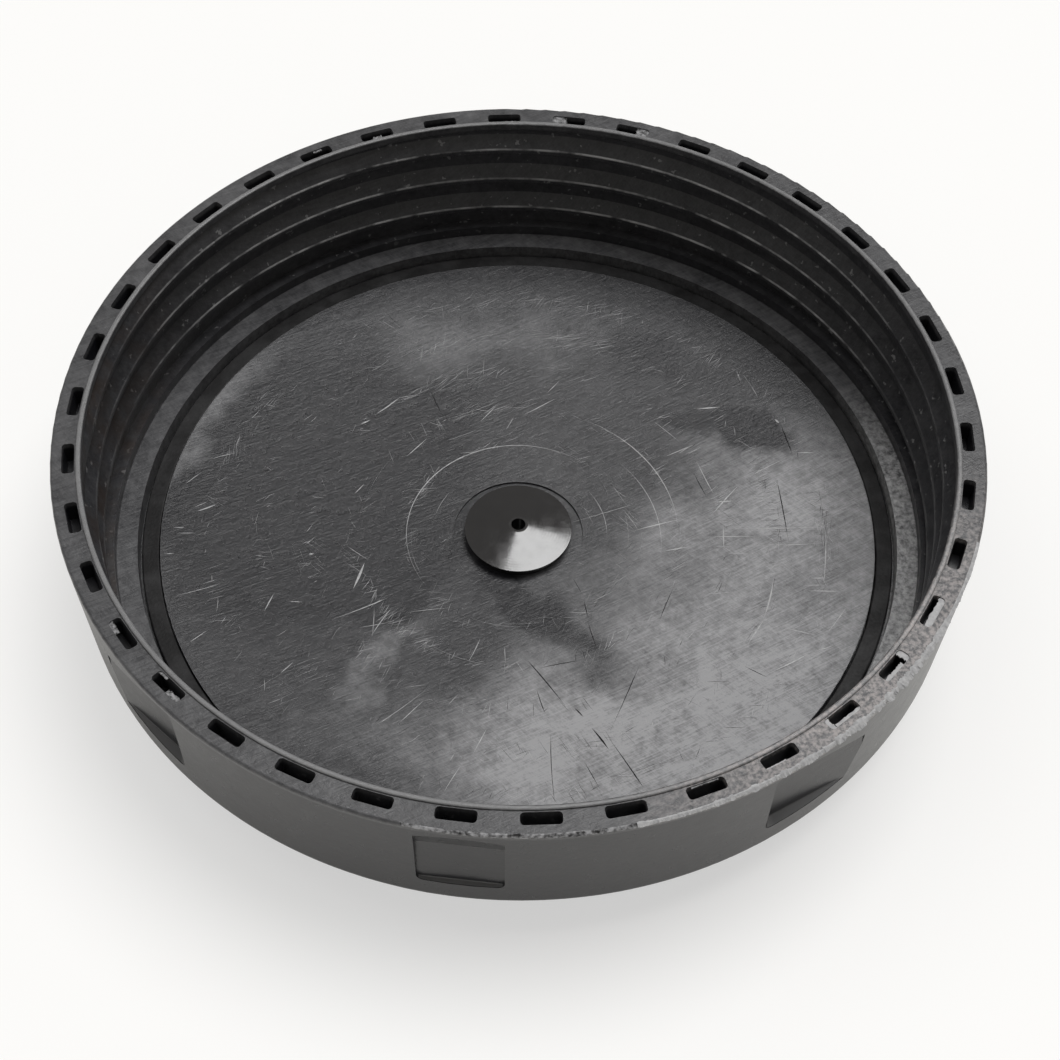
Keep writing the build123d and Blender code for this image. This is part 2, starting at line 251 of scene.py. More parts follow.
def add_up(tree, state, value):
    """Adds a value to the z of a vector, which carries a flat place in its x and y."""
    return add(tree, VECTOR, {0: value, 1: (0, 0, 1), 2: state}, operation="MULTIPLY_ADD")


def clouds(tree, place, areas):
    """Broad soft patches, added up: each is full in its middle and fades out to its edge.

    One vector carries the place and the sum, because a shader holds only so many values at once.
    """
    state = place
    for x, y, length, width, angle, strength in areas:
        local = add(tree, MAPPING, {
            0: state, "Location": (x, y, 0), "Rotation": (0, 0, math.radians(angle)),
            "Scale": (length, width, FAR)}, vector_type="TEXTURE")
        away = add(tree, VECTOR, {0: local}, out="Value", operation="LENGTH")
        patch = add(tree, REMAP, {0: away, 1: 1.0, 2: 0.1, 3: 0.0, 4: strength},
                    interpolation_type="SMOOTHSTEP")
        state = add_up(tree, state, patch)
    return add(tree, SPLIT, {0: state}, out=2)


def in_millimetres(tree):
    """The place on the piece, in mm."""
    point = add(tree, "ShaderNodeTexCoord", out="Object")
    return add(tree, VECTOR, {0: point, "Scale": 1 / MM}, operation="SCALE")


def unrolled(azimuth):
    """An azimuth in degrees as the radians that the shaders count from the far side."""
    return math.radians((azimuth + 90) % 360 - 180)


def grain(tree, place, size, low, high, detail=3.0, roughness=0.6):
    """Noise with features of a size in mm, from 0 below low to 1 above high."""
    noise = add(tree, NOISE, {
        "Vector": place, "Scale": 1 / size, "Detail": detail, "Roughness": roughness})
    return add(tree, REMAP, {0: noise, 1: low, 2: high, 3: 0.0, 4: 1.0})


def between(tree, value, low, high, soft):
    """1 where a value lies between two limits, with soft ends."""
    rise = add(tree, REMAP, {0: value, 1: low - soft, 2: low + soft, 3: 0.0, 4: 1.0})
    fall = add(tree, REMAP, {0: value, 1: high - soft, 2: high + soft, 3: 1.0, 4: 0.0})
    return add(tree, MATH, {0: rise, 1: fall}, operation="MULTIPLY")


def facing(tree, azimuth, middle, span, soft=0.2):
    """1 within a span of degrees each side of an azimuth, with soft ends."""
    turn = add(tree, MATH, {0: azimuth, 1: unrolled(middle)}, operation="SUBTRACT")
    turn = add(tree, MATH, {0: turn}, operation="COSINE")
    edge = math.cos(math.radians(span))
    return add(tree, REMAP, {0: turn, 1: edge - soft / 2, 2: edge + soft / 2, 3: 0.0, 4: 1.0})


def crest_highlights(tree, azimuth, radius, height):
    """1 on the edges of the thread's crest, a painted highlight where they catch the light on the
    far side.
    """
    crest = between(tree, radius, CREST_RADIUS - 0.3, CREST_RADIUS + 0.25, 0.05)
    turns = add(tree, MATH, {0: azimuth, 1: -1 / (2 * math.pi), 2: 0.0}, operation="MULTIPLY_ADD")
    climb = add(tree, MATH, {0: height, 1: 1 / THREAD_LEAD, 2: turns}, operation="MULTIPLY_ADD")
    climb = add(tree, MATH, {0: climb, 1: RIDGE_PHASE}, operation="SUBTRACT")
    climb = add(tree, MATH, {0: climb}, operation="FRACT")
    climb = add(tree, MATH, {0: climb, 1: THREAD_LEAD}, operation="MULTIPLY")
    edge = between(tree, climb, CREST_FLAT - 0.2, CREST_FLAT + 0.2, 0.08)
    edge = add(tree, MATH, {0: edge, 1: crest}, operation="MULTIPLY")
    lit = scaled_sum(tree, [(facing(tree, azimuth, middle, span), strength)
                            for middle, span, strength in LIT_CRESTS])
    lit = add(tree, MATH, {0: lit, 1: 0.15}, operation="ADD")
    return add(tree, MATH, {0: edge, 1: lit}, operation="MULTIPLY")


def scaled_sum(tree, terms):
    """Sum of sockets, each times its number."""
    total = 0.0
    for socket, number in terms:
        total = add(tree, MATH, {0: socket, 1: number, 2: total}, operation="MULTIPLY_ADD")
    return total


def new_material(name):
    material = bpy.data.materials.new(name)
    material.use_nodes = True
    tree = material.node_tree
    tree.nodes.clear()
    return material, tree


def finish_with(tree, skin):
    add(tree, "ShaderNodeOutputMaterial", {"Surface": skin})


def clothe(obj, material):
    """Puts one material on an object's only slot."""
    obj.data.materials.clear()
    obj.data.materials.append(material)


def moulding_material(colours, sizes):
    """Polypropylene, injection moulded in black and much used.

    A fresh surface is near black with a soft shine; rubbing turns it grey and dull, in clouds and
    in fine combing. Some of the clouds are painted sheen, and the crest's edges, the lip's top and
    the ledges of the grip recesses carry painted highlights. The single scratches are a piece of
    their own.
    """
    material, tree = new_material("moulded_polypropylene_worn_and_painted_sheen")
    place = in_millimetres(tree)
    xyz = add(tree, SPLIT, {0: place}).node
    flat = add(tree, VECTOR, {0: place, 1: (1, 1, 0)}, operation="MULTIPLY")
    radius = add(tree, VECTOR, {0: flat}, out="Value", operation="LENGTH")
    across = add(tree, MATH, {0: xyz.outputs[0], 1: -1.0}, operation="MULTIPLY")
    azimuth = add(tree, MATH, {0: across, 1: xyz.outputs[1]}, operation="ARCTAN2")
    height = xyz.outputs[2]

    swirl = {"Vector": place, "Scale": 1 / SWIRL_SIZE, "Detail": 4.0}
    swirl = add(tree, NOISE, swirl, out="Color")
    swirl = add(tree, VECTOR, {0: swirl, 1: (0.5, 0.5, 0.5)}, operation="SUBTRACT")
    bent = add(tree, VECTOR, {0: swirl, 1: SWIRL_REACH, 2: flat}, operation="MULTIPLY_ADD")

    # Where each part of the moulding is
    rim = between(tree, height, RIM_Z - 0.9, BEYOND, 0.25)
    below_rim = add(tree, MATH, {0: 1.0, 1: rim}, operation="SUBTRACT")
    disc = between(tree, radius, -BEYOND, DISC_RADIUS, 0.2)
    seat = between(tree, radius, DISC_RADIUS, SEAT_RADIUS - 0.1, 0.1)
    wall = between(tree, radius, SEAT_RADIUS, WALL_END, 0.1)
    wall = add(tree, MATH, {0: wall, 1: below_rim}, operation="MULTIPLY")
    skirt = between(tree, radius, SKIRT_START, BEYOND, 0.1)
    skirt = add(tree, MATH, {0: skirt, 1: below_rim}, operation="MULTIPLY")

    # Scuffing: clouds, which also carry painted sheen, grain of three sizes in mm, and combing in
    # two directions
    scuff_and_sheen = clouds(tree, bent, SCUFF_AND_SHEEN_CLOUDS)
    blotch = grain(tree, place, 14, 0.3, 0.7, 5.0, 0.65)
    fleck = grain(tree, place, 2.2, 0.35, 0.7, 4.0, 0.7)
    fine = grain(tree, place, sizes.grain / MM, 0.3, 0.75, 3.0, 0.7)
    combed, crossed = [
        add(tree, MAPPING, {0: place, "Rotation": (0, 0, math.radians(angle)), "Scale": scale},
            vector_type="TEXTURE") for angle, scale in (COMBED, CROSSED)]
    combed = grain(tree, combed, 1.0, 0.4, 0.72, 4.0, 0.7)
    crossed = grain(tree, crossed, 1.0, 0.45, 0.75, 4.0, 0.7)
    # Painted highlight along the crest's edges
    ridge = crest_highlights(tree, azimuth, radius, height)

    # How worn each place is, with painted sheen on the disc: there the clouds set the level,
    # elsewhere it is even
    zones = scaled_sum(tree, ((disc, 0.92), (seat, 0.6), (wall, 0.26), (skirt, 0.05), (rim, 0.44)))
    # Painted highlight along the top of the lip round the mouth
    lip = between(tree, height, RIM_Z + 0.2, BEYOND, 0.08)
    level = add(tree, MATH, {0: scuff_and_sheen, 1: CLEAR_LEVEL}, operation="ADD")
    level = add(tree, MATH, {0: level, 1: LEAST_LEVEL}, operation="MAXIMUM")
    level = add(tree, MIX, {0: disc, 2: PART_LEVEL, 3: level}, data_type="FLOAT")
    cloudy = scaled_sum(tree, (
        (blotch, 0.45), (fleck, 0.45), (fine, 0.25), (combed, 0.4), (crossed, 0.3)))
    cloudy = add(tree, MATH, {0: cloudy, 1: 0.08}, operation="ADD")
    wear = add(tree, MATH, {0: zones, 1: cloudy}, operation="MULTIPLY")
    wear = add(tree, MATH, {0: wear, 1: level}, operation="MULTIPLY", use_clamp=True)

    # Pale places: a paler strip on the right, the chipped front of the rim, and painted highlights
    # on the crest's edges, the lip's top and the recess ledges
    # The seat strip is paler on the right, in a fine grain
    pale_strip = facing(tree, azimuth, *PALE_STRIP)
    pale_strip = add(tree, MATH, {0: seat, 1: pale_strip}, operation="MULTIPLY")
    pale_strip = add(tree, MATH, {0: pale_strip, 1: fine}, operation="MULTIPLY")
    chips = grain(tree, place, 0.8, 0.42, 0.72, 5.0, 0.7)
    chips = add(tree, MATH, {0: rim, 1: chips}, operation="MULTIPLY")
    chipped = facing(tree, azimuth, *CHIPPED_RIM)
    chips = add(tree, MATH, {0: chips, 1: chipped}, operation="MULTIPLY")
    broken = grain(tree, place, 5, 0.35, 0.62, 3.0)
    ridge = add(tree, MATH, {0: ridge, 1: broken}, operation="MULTIPLY")
    specks = grain(tree, place, 1.5, 0.66, 0.7, 2.0)
    specks = add(tree, MATH, {0: wall, 1: specks}, operation="MULTIPLY")
    # The bottom of each grip recess is a ledge, painted paler as a highlight on its upward face
    ledge_highlight = between(tree, height, GRIP_FLOOR_Z - 0.3, GRIP_FLOOR_Z + 0.4, 0.1)
    recess = between(tree, radius, SKIRT_START, LEDGE_RADIUS, 0.05)
    ledge_highlight = add(tree, MATH, {0: recess, 1: ledge_highlight}, operation="MULTIPLY")
    pale = scaled_sum(tree, (
        (pale_strip, 1.1), (chips, 0.7), (ridge, 1.0), (lip, 0.3), (specks, 0.3), (ledge_highlight, 0.4)))
    pale = add(tree, MATH, {0: pale, 1: 0.0}, operation="ADD", use_clamp=True)

    colour = add(tree, MIX, {0: wear, 6: colours.fresh, 7: colours.worn}, out=2, data_type="RGBA")
    colour = add(tree, MIX, {0: pale, 6: colour, 7: colours.rubbed_and_highlight}, out=2, data_type="RGBA")
    dusty = add(tree, MATH, {0: chips, 1: 0.7}, operation="MULTIPLY")
    colour = add(tree, MIX, {0: dusty, 6: colour, 7: colours.dust}, out=2, data_type="RGBA")
    film = grain(tree, place, 6, 0.4, 0.65, 4.0)
    film = add(tree, MATH, {0: wall, 1: film}, operation="MULTIPLY")
    stained = facing(tree, azimuth, *STAINED_WALL)
    film = add(tree, MATH, {0: film, 1: stained}, operation="MULTIPLY")
    colour = add(tree, MIX, {0: film, 6: colour, 7: colours.dirt}, out=2, data_type="RGBA")

    dull = scaled_sum(tree, ((wear, 0.14), (pale, 0.15), (film, 0.15), (fleck, 0.05)))
    dull = add(tree, MATH, {0: dull, 1: FRESH_ROUGHNESS}, operation="ADD")

    # Scuffing cuts deepest where the cap lies open
    open_zones = scaled_sum(tree, (
        (disc, 1.0), (seat, 0.8), (skirt, 0.25), (rim, 1.0), (wall, 0.6)))
    relief = scaled_sum(tree, ((fine, 0.3), (fleck, 0.7), (combed, 0.3), (crossed, 0.25)))
    relief = add(tree, MATH, {0: relief, 1: open_zones}, operation="MULTIPLY")
    bump = add(tree, BUMP, {"Height": relief, "Distance": sizes.groove, "Strength": 1.0})
    skin = add(tree, SKIN, {"Base Color": colour, "Roughness": dull, "IOR": 1.49, "Normal": bump})
    finish_with(tree, skin)
    return material


def seal_material(colours):
    """Moulded rubber, pressed flat in use: matt and finely pitted, with a little grey bloom."""
    material, tree = new_material("moulded_rubber_seal")
    place = in_millimetres(tree)
    bloom = grain(tree, place, 5, 0.4, 0.75, 4.0)
    fine = grain(tree, place, 0.5, 0.3, 0.7, 2.0)
    pale = add(tree, MIX, {0: 0.08, 6: colours.seal, 7: colours.worn}, out=2, data_type="RGBA")
    colour = add(tree, MIX, {0: bloom, 6: colours.seal, 7: pale}, out=2, data_type="RGBA")
    dull = add(tree, REMAP, {0: fine, 1: 0.0, 2: 1.0, 3: 0.5, 4: 0.66})
    bump = add(tree, BUMP, {"Height": fine, "Distance": 0.00002, "Strength": 1.0})
    skin = add(tree, SKIN, {
        "Base Color": colour, "Roughness": dull, "IOR": 1.52, "Specular IOR Level": 0.3,
        "Normal": bump})
    finish_with(tree, skin)
    return material


def valve_material(colours):
    """Rubber from a polished mould: smooth and shiny, with the mould's faint turning rings."""
    material, tree = new_material("polished_moulded_rubber_valve")
    place = in_millimetres(tree)
    flat = add(tree, VECTOR, {0: place, 1: (1, 1, 0)}, operation="MULTIPLY")
    radius = add(tree, VECTOR, {0: flat}, out="Value", operation="LENGTH")
    # The real rings lie 0.1 mm apart; they are drawn further apart so that they show
    rings = add(tree, MATH, {0: radius, 1: 2 * math.pi / RING_SPACING}, operation="MULTIPLY")
    rings = add(tree, MATH, {0: rings}, operation="SINE")
    smear = grain(tree, place, 2.5, 0.35, 0.7, 3.0)
    relief = scaled_sum(tree, ((rings, 0.25), (smear, 0.6)))
    bump = add(tree, BUMP, {"Height": relief, "Distance": 0.000006, "Strength": 1.0})
    dull = add(tree, REMAP, {0: smear, 1: 0.0, 2: 1.0, 3: 0.1, 4: 0.2})
    skin = add(tree, SKIN, {
        "Base Color": colours.valve, "Roughness": dull, "IOR": 1.6, "Specular IOR Level": 0.9,
        "Normal": bump})
    finish_with(tree, skin)
    return material


def mark_material(name, low, high, dullness):
    """Plastic laid open by a scratch or torn at an edge: broken up between two greys, and matt."""
    material, tree = new_material(name)
    place = in_millimetres(tree)
    broken = grain(tree, place, 0.7, 0.35, 0.65, 3.0)
    colour = add(tree, MIX, {0: broken, 6: low, 7: high}, out=2, data_type="RGBA")
    rough = add(tree, REMAP, {0: broken, 1: 0.0, 2: 1.0, 3: dullness - 0.08, 4: dullness})
    skin = add(tree, SKIN, {"Base Color": colour, "Roughness": rough, "IOR": 1.49})
    finish_with(tree, skin)
    return material


def dish_z(x, y):
    """Height of the dished disc at a place, in mm."""
    return MIDDLE_Z + DISH_RADIUS - math.sqrt(DISH_RADIUS ** 2 - x * x - y * y)


def polar(radius, azimuth, z=0.0):
    angle = math.radians(azimuth)
    return (radius * math.cos(angle), radius * math.sin(angle), z)


class Pile:
    """Points and faces of one piece, gathered shape by shape, each face with its material."""
    # How far the sides of a ridge start below the disc
    SUNK = -0.01

    def __init__(self):
        self.points = []
        self.faces = []
        self.kinds = []

    def put(self, points, faces, kind=0):
        first = len(self.points)
        self.points += points
        self.faces += [[first + corner for corner in face] for face in faces]
        self.kinds += [kind] * len(faces)

    def ridge(self, path, half, lift, kind):
        """A low three-sided ridge along points in the disc's plane, narrowing to both ends."""
        last = len(path) - 1
        points = []
        for step, (x, y) in enumerate(path):
            before = path[max(step - 1, 0)]
            after = path[min(step + 1, last)]
            along = Vector((after[0] - before[0], after[1] - before[1])).normalized()
            width = half * min(1.0, 0.15 + 2.2 * min(step, last - step) / last)
            for side in (-1, 0, 1):
                height = self.SUNK if side else lift * width / half
                u, v = x - side * along.y * width, y + side * along.x * width
                points.append((u, v, dish_z(u, v) + height))
        faces = [(3 * k + side, 3 * k + side + 1, 3 * k + side + 4, 3 * k + side + 3)
                 for k in range(last) for side in (0, 1)]
        self.put(points, faces, kind)

    def piece(self, name, slot, materials):
        """Makes the object, riding on the part."""
        mesh = bpy.data.meshes.new(name)
        mesh.from_pydata([[c * MM for c in point] for point in self.points], [], self.faces)
        for material in materials:
            mesh.materials.append(material)
        mesh.polygons.foreach_set("material_index", self.kinds)
        shape = bmesh.new()
        shape.from_mesh(mesh)
        bmesh.ops.recalc_face_normals(shape, faces=shape.faces)
        shape.to_mesh(mesh)
        shape.free()
        piece = bpy.data.objects.new(name, mesh)
        bpy.context.scene.collection.objects.link(piece)
        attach(piece, "root")
        return piece


def wavy(dice, x1, y1, x2, y2, bow=0.02, steps=6):
    """Points of a slightly bent line between two places."""
    length = math.hypot(x2 - x1, y2 - y1)
    side = Vector((y1 - y2, x2 - x1)).normalized() * length * dice.uniform(-bow, bow)
    path = []
    for step in range(steps + 1):
        share = step / steps
        swell = 4 * share * (1 - share)
        path.append((
            x1 + (x2 - x1) * share + side.x * swell, y1 + (y2 - y1) * share + side.y * swell))
    return path


def ring_path(radius, azimuth, span, drift=0.0):
    """Points of an arc round the middle of the disc."""
    steps = max(4, int(abs(span) / 3))
    return [polar(radius + drift * k / steps, azimuth + span * k / steps)[:2]
            for k in range(steps + 1)]


def floor_material(colours):
    """Painted table top in plain light: matt and nearly white.

    The camera and the shiny faces see it half lit by its own white, which keeps its shadow light.
    """
    material, tree = new_material("painted_table_top")
    point = add(tree, "ShaderNodeTexCoord", out="Object")
    # Specks of the paint's skin, 1.1 mm across
    specks = add(tree, NOISE, {"Vector": point, "Scale": 900.0, "Detail": 2.0})
    bump = add(tree, BUMP, {"Height": specks, "Distance": 0.00001, "Strength": 0.3})
    paint = add(tree, SKIN, {"Base Color": colours.floor, "Roughness": 0.7, "Normal": bump})
    paper = add(tree, "ShaderNodeEmission", {"Color": colours.paper, "Strength": 1.0})
    path = add(tree, "ShaderNodeLightPath").node
    # The plastic mirrors less of that white, so that the shadow darkens the foot of the skirt
    seen = scaled_sum(tree, ((path.outputs["Is Camera Ray"], WHITE_TO_CAMERA),
                             (path.outputs["Is Glossy Ray"], WHITE_TO_GLOSS)))
    finish_with(tree, add(tree, "ShaderNodeMixShader", {0: seen, 1: paint, 2: paper}))
    return material


class TANKCAP_OT_moulding(bpy.types.Operator):
    """Gives the cap's moulding its worn black plastic, with painted sheen and highlights"""
    bl_idname = "tankcap.moulding"
    bl_label = "Worn plastic moulding"

    def execute(self, context):
        scene = context.scene
        clothe(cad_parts["cap_body"], moulding_material(scene.cap_colours, scene.cap_sizes))
        return {"FINISHED"}


class TANKCAP_OT_scratches(bpy.types.Operator):
    """Scratches the disc: the large marks one by one, and thousands of fine ones"""
    bl_idname = "tankcap.scratches"
    bl_label = "Scratches on the disc"

    # Materials by number
    PALE, MIDDLING, DARK = range(3)
    FINE_COUNT = 4400
    CLUSTERS = 90
    RING_COUNT = 330
    # How many times likelier a known bundle is than one placed at random
    KNOWN_SHARE = 5
    # Heights of the large marks, of the turned ones, of the fine ones and of the fine arcs
    MARK_LIFT, TURNED_LIFT, FINE_LIFT, ARC_LIFT = 0.04, 0.03, 0.018, 0.01
    # Marks with a tone above this one are pale
    PALE_TONE = 0.75
    # Fine scratches keep clear of the valve and of the disc's edge
    VALVE_CLEAR, EDGE_CLEAR = 11.8, 61

    def execute(self, context):
        dice = random.Random(11)
        pile = Pile()
        for x1, y1, x2, y2, half, tone in MARKS:
            kind = self.DARK if tone < 0 else self.PALE if tone > self.PALE_TONE else self.MIDDLING
            pile.ridge(wavy(dice, x1, y1, x2, y2), half, self.MARK_LIFT, kind)
        for azimuth, radius, end, end_radius, half, tone in TURNED_MARKS:
            path = ring_path(radius, azimuth, end - azimuth, end_radius - radius)
            kind = self.PALE if tone > self.PALE_TONE else self.MIDDLING
            pile.ridge(path, half, self.TURNED_LIFT, kind)
        self.fine(pile, dice)
        self.rings(pile, dice)
        colours = context.scene.cap_colours
        pile.piece("disc_scratches", "moulding", (
            mark_material("scratched_plastic_pale", colours.rubbed_and_highlight, colours.worn, 0.45),
            mark_material("scratched_plastic_grey", colours.worn, colours.rubbed_and_highlight, 0.4),
            mark_material("scratched_plastic_dark", colours.fresh, colours.seal, 0.3)))
        return {"FINISHED"}

    def fine(self, pile, dice):
        """Short fine scratches, two in three of them in bundles that share a direction."""
        bundles = [(*polar(56 * math.sqrt(dice.random()), dice.uniform(0, 360))[:2],
                    dice.choice(SCRATCH_DIRECTIONS), dice.uniform(1.5, 5), dice.uniform(2, 8))
                   for _ in range(self.CLUSTERS)]
        bundles += BUNDLES * self.KNOWN_SHARE
        for number in range(self.FINE_COUNT):
            if number % 3:
                x, y, angle, spread, length = dice.choice(bundles)
                x += dice.gauss(0, spread)
                y += dice.gauss(0, spread)
                angle += dice.gauss(0, 5)
                length *= dice.uniform(0.4, 1.2)
            else:
                x, y, _ = polar(60 * math.sqrt(dice.random()), dice.uniform(0, 360))
                angle = (24 if y > 0 else 62) + dice.gauss(0, 24)
                length = dice.uniform(0.8, 4)
            dx, dy, _ = polar(length, angle)
            ends = math.hypot(x, y), math.hypot(x + dx, y + dy)
            if min(ends) < self.VALVE_CLEAR or max(ends) > self.EDGE_CLEAR:
                continue
            # The half that the light shines on shows its scratches dark, the other half pale
            odds = (2, 3, 5) if x - y > 12 else (1, 7, 2)
            kind = dice.choices((self.PALE, self.MIDDLING, self.DARK), odds)[0]
            path = wavy(dice, x, y, x + dx, y + dy, 0.05, 3)
            pile.ridge(path, dice.triangular(0.03, 0.09, 0.04), self.FINE_LIFT, kind)

    def rings(self, pile, dice):
        """Fine arcs turned round the valve."""
        for _ in range(self.RING_COUNT):
            radius = dice.triangular(self.VALVE_CLEAR, 36, 16)
            path = ring_path(
                radius, dice.uniform(0, 360), dice.uniform(5, 40), dice.uniform(-0.3, 0.3))
            kind = dice.choices((self.MIDDLING, self.DARK), (3, 1))[0]
            pile.ridge(path, dice.uniform(0.02, 0.045), self.ARC_LIFT, kind)


class TANKCAP_OT_flash(bpy.types.Operator):
    """Adds the rim's ragged edge and the thin flash in some of its pockets"""
    bl_idname = "tankcap.flash"
    bl_label = "Burrs and flash of the rim"

    # From this azimuth to that one the outer edge is ragged, worst at the middle one
    EDGE_START, EDGE_WORST, EDGE_END = 258, 318, 342
    EDGE_STEP = 0.14
    # How ragged the edge is wanders from 0 to 1: start, step, mean and pull back towards it
    RAGGED_START, RAGGED_STEP, RAGGED_MEAN, RAGGED_PULL = 0.5, 0.28, 0.4, 0.12
    # Up to this share of its length the edge has no dust
    CLEAN_SHARE = 0.3
    # Nothing stands out past the cap's own box
    REACH = 74.96
    # The lip's skin: where it starts, how far it goes round, and how far it sticks out
    LIP_START, LIP_SPAN, LIP_JAG = 38, 100, 0.18
    # A sheet's depth below the rim, its thickness, and the steps and raggedness of its free edge
    SHEET_DEPTH = 0.22
    SHEET_THICKNESS = 0.2
    SHEET_STEPS = 16
    SHEET_RAGGED = 0.16

    def execute(self, context):
        dice = random.Random(5)
        colours = context.scene.cap_colours
        dusty = mark_material("torn_plastic_dusty", colours.worn, colours.rubbed_and_highlight, 0.6)
        torn = mark_material("torn_plastic", colours.seal, colours.worn, 0.45)
        burr = context.scene.cap_sizes.burr / MM
        edge = Pile()
        self.edge(edge, dice, burr)
        edge.piece("rim_burrs", "moulding", (dusty, torn))
        lip = Pile()
        self.lip(lip, dice)
        lip.piece("lip_burrs", "moulding", (torn,))
        sheets = Pile()
        for row in POCKET_FLASH:
            self.sheet(sheets, dice, *row)
        sheets.piece("pocket_flash", "moulding", (dusty, torn))
        return {"FINISHED"}

    def edge(self, pile, dice, burr):
        """The torn outer edge: a thin ragged bead along it, thickest where the chips are."""
        rows = []
        lean = math.tan(math.radians(SKIRT_DRAFT))
        azimuth = self.EDGE_START
        ragged = self.RAGGED_START
        while azimuth < self.EDGE_END:
            limit = self.EDGE_START if azimuth < self.EDGE_WORST else self.EDGE_END
            amount = abs(azimuth - limit) / abs(self.EDGE_WORST - limit)
            pull = self.RAGGED_PULL * (ragged - self.RAGGED_MEAN)
            ragged = min(1.0, max(0.0, ragged + dice.gauss(0, self.RAGGED_STEP) - pull))
            jag = burr * amount * ragged
            x, y, _ = polar(1, azimuth)
            out = min(RIM_RADIUS - 0.04 + jag, self.REACH / max(abs(x), abs(y)))
            low = 0.45 + 0.5 * amount * dice.random()
            rows.append((
                polar(RIM_RADIUS - 0.55 - 0.5 * amount * ragged, azimuth, RIM_Z - 0.02),
                polar(RIM_RADIUS - 0.30, azimuth, RIM_Z + 0.01 + 0.4 * jag),
                polar(out, azimuth, RIM_Z - 0.12 - 0.3 * dice.random() * amount),
                polar(RIM_RADIUS - low * lean - 0.02, azimuth, RIM_Z - low)))
            azimuth += self.EDGE_STEP
        self.strip(pile, rows, self.CLEAN_SHARE)

    def lip(self, pile, dice):
        """Ragged skin between the lip and the pockets on the far side."""
        rows = []
        for step in range(int(self.LIP_SPAN / self.EDGE_STEP)):
            azimuth = self.LIP_START + step * self.EDGE_STEP
            jag = self.LIP_JAG * dice.random() ** 2
            rows.append((
                polar(LIP_OUTER_RADIUS - 0.1, azimuth, RIM_Z + 0.05),
                polar(LIP_OUTER_RADIUS, azimuth, RIM_Z + 0.1 + 0.15 * dice.random()),
                polar(LIP_OUTER_RADIUS + 0.08 + jag, azimuth, RIM_Z + 0.02)))
        self.strip(pile, rows)

    def strip(self, pile, rows, clean_share=-1.0):
        """Joins rows of points into a closed band, with material 1 up to a share of its length."""
        wide = len(rows[0])
        around = [(k, (k + 1) % wide, wide + (k + 1) % wide, wide + k) for k in range(wide)]
        first = len(pile.points)
        pile.points += [point for row in rows for point in row]
        for step in range(len(rows) - 1):
            pile.faces += [[first + step * wide + corner for corner in face] for face in around]
            pile.kinds += [0 if step / len(rows) > clean_share else 1] * wide
        for start in (first, len(pile.points) - wide):
            pile.faces.append(list(range(start, start + wide)))
            pile.kinds.append(0)

    def sheet(self, pile, dice, number, side, reach, start, end, dust):
        """One thin sheet across part of a pocket, with a ragged free edge."""
        hang = {"outer": POCKET_HALF_WIDTH, "inner": -POCKET_HALF_WIDTH,
                "start": -POCKET_HALF_LENGTH, "end": POCKET_HALF_LENGTH}[side]
        free = hang - math.copysign(reach, hang)
        outline = []
        for step in range(self.SHEET_STEPS + 1):
            along = start + (end - start) * step / self.SHEET_STEPS
            ragged = dice.uniform(-self.SHEET_RAGGED, self.SHEET_RAGGED) * min(1.0, reach)
            outline.append((along, free + ragged))
        outline += [(end, hang), (start, hang)]
        if side in ("outer", "inner"):
            outline = [(radial, along) for along, radial in outline]
        azimuth = POCKET_FIRST_AZIMUTH + number * POCKET_STEP
        turn = Matrix.Rotation(math.radians(azimuth), 3, "Z")
        top = RIM_Z - self.SHEET_DEPTH
        points = []
        for z in (top, top - self.SHEET_THICKNESS):
            points += [tuple(turn @ Vector((POCKET_RADIUS + u, v, z))) for u, v in outline]
        count = len(outline)
        faces = [list(range(count)), list(range(2 * count - 1, count - 1, -1))]
        faces += [(k, (k + 1) % count, count + (k + 1) % count, count + k) for k in range(count)]
        pile.put(points, faces, 0 if dust else 1)


class TANKCAP_OT_rubber(bpy.types.Operator):
    """Gives the sealing ring and the vent valve their rubber"""
    bl_idname = "tankcap.rubber"
    bl_label = "Seal and valve rubber"

    def execute(self, context):
        clothe(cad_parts["seal_ring"], seal_material(context.scene.cap_colours))
        clothe(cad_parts["vent_valve"], valve_material(context.scene.cap_colours))
        return {"FINISHED"}


